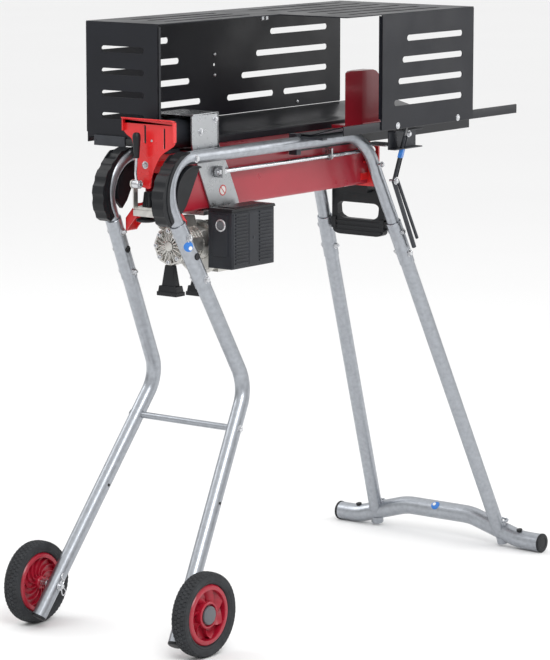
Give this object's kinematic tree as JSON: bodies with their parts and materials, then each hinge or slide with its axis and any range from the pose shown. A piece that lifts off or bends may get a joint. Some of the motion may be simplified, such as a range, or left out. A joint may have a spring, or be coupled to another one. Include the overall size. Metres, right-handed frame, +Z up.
{
  "type": "log splitter",
  "caption": "Horizontal electric-hydraulic log splitter on a galvanised tube stand, with wheels, red beam and wedge, and a slotted black guard",
  "frame": {"origin": "Bottom centre of the whole machine's bounding box, on the floor that the wheels and the foot tube stand on.", "axes": "+X from the control end to the wedge end, +Y to the far side with the full-length guard panel, +Z up. The operator stands at -Y."},
  "size_m": [1.483, 0.665, 1.444],
  "materials": {
    "galvanised": "hot-dip galvanised tube and sheet, soft grey mottling, satin",
    "red_paint": "red powder coat, semi-gloss",
    "black_sheet": "dark blue-grey powder-coated sheet steel, satin",
    "black_plastic": "black moulded plastic",
    "grey_plastic": "grey moulded plastic",
    "red_plastic": "red moulded plastic",
    "tyre_rubber": "dark grey solid rubber with a fine moulded tread",
    "cast_alloy": "bare cast aluminium",
    "dark_steel": "dark painted steel",
    "bright_steel": "ground and chromed steel"
  },
  "bodies": {
    "root": {"main_beam": "red_paint", "beam_end_plate": "red_paint", "front_cross_bracket": "red_paint", "side_frame_near": "galvanised", "side_frame_far": "galvanised", "front_leg_near": "galvanised", "front_leg_far": "galvanised", "leg_cross_tube": "galvanised", "rear_leg_near": "galvanised", "rear_leg_far": "galvanised", "foot_tube": "galvanised", "foot_cap_near": "black_plastic", "foot_cap_far": "black_plastic", "wheel_axle_near": "bright_steel", "wheel_axle_far": "bright_steel", "corner_grip_near": "black_plastic", "corner_grip_far": "black_plastic", "gusset_near": "black_plastic", "gusset_far": "black_plastic", "rear_handle": "black_plastic", "hydraulic_cylinder": "dark_steel", "rod_guide": "galvanised", "wedge": "red_paint", "log_tray_near": "black_sheet", "log_tray_far": "black_sheet", "guard_end_panel": "black_sheet", "guard_far_panel": "black_sheet", "guard_near_panel": "black_sheet", "guard_top_plate": "black_sheet", "tray_strut": "dark_steel", "strut_arm": "dark_steel", "pump_housing": "cast_alloy", "pump_cover": "cast_alloy", "motor_flange": "cast_alloy", "motor_housing": "dark_steel", "pump_foot_front": "black_plastic", "pump_foot_rear": "black_plastic", "switch_box": "black_plastic", "switch_box_lid": "black_plastic", "power_inlet": "black_plastic", "valve_block": "cast_alloy", "oil_filler_cap": "black_plastic", "lever_guard": "red_paint"},
    "pusher": {"pusher": "galvanised", "piston_rod": "bright_steel", "stroke_rod": "bright_steel"},
    "stage": {"cylinder_stage": "bright_steel"},
    "inner_stage": {"cylinder_inner_stage": "bright_steel"},
    "lever": {"control_lever": "bright_steel", "lever_grip": "black_plastic"},
    "spool": {"valve_spool": "black_plastic"},
    "button": {"start_button": "grey_plastic"},
    "wheel_near": {"wheel_rim_near": "red_plastic", "tyre_near": "tyre_rubber", "hub_cap_near": "grey_plastic"},
    "wheel_far": {"wheel_rim_far": "red_plastic", "tyre_far": "tyre_rubber", "hub_cap_far": "grey_plastic"},
    "rotor": {"motor_rotor": "dark_steel"},
    "idler_gear": {"driven_gear": "bright_steel"}
  },
  "joints": [
    {"name": "pusher_slide", "type": "slide", "parent": "root", "child": "pusher", "axis": [1, 0, 0], "range_m": [0, 0.369]},
    {"name": "stage_slide", "type": "slide", "parent": "root", "child": "stage", "axis": [1, 0, 0], "range_m": [0, 0.123]},
    {"name": "inner_stage_slide", "type": "slide", "parent": "root", "child": "inner_stage", "axis": [1, 0, 0], "range_m": [0, 0.246]},
    {"name": "lever_swing", "type": "hinge", "parent": "root", "child": "lever", "pos_m": [-0.5635, 0, 1.075], "axis": [0, -1, 0], "range_deg": [0, 25], "stiffness_Nm_per_rad": 3},
    {"name": "spool_slide", "type": "slide", "parent": "root", "child": "spool", "axis": [0, 0, -1], "range_m": [0, 0.006]},
    {"name": "button_press", "type": "slide", "parent": "root", "child": "button", "axis": [1, 0, 0], "range_m": [0, 0.003], "stiffness_N_per_m": 300},
    {"name": "near_wheel_spin", "type": "hinge", "parent": "root", "child": "wheel_near", "pos_m": [-0.6415, -0.258, 0.1], "axis": [0, 1, 0], "continuous": true},
    {"name": "far_wheel_spin", "type": "hinge", "parent": "root", "child": "wheel_far", "pos_m": [-0.6415, 0.258, 0.1], "axis": [0, 1, 0], "continuous": true},
    {"name": "rotor_spin", "type": "hinge", "parent": "root", "child": "rotor", "pos_m": [-0.3415, -0.012, 0.905], "axis": [1, 0, 0], "continuous": true},
    {"name": "idler_spin", "type": "hinge", "parent": "root", "child": "idler_gear", "pos_m": [-0.4315, -0.012, 0.931], "axis": [1, 0, 0], "continuous": true}
  ],
  "couplings": [
    {"joint": "stage_slide", "follows": "pusher_slide", "ratio": 0.33333},
    {"joint": "inner_stage_slide", "follows": "pusher_slide", "ratio": 0.66667},
    {"joint": "spool_slide", "follows": "lever_swing", "m_per_rad": 0.01375},
    {"joint": "idler_spin", "follows": "rotor_spin", "ratio": -1}
  ]
}
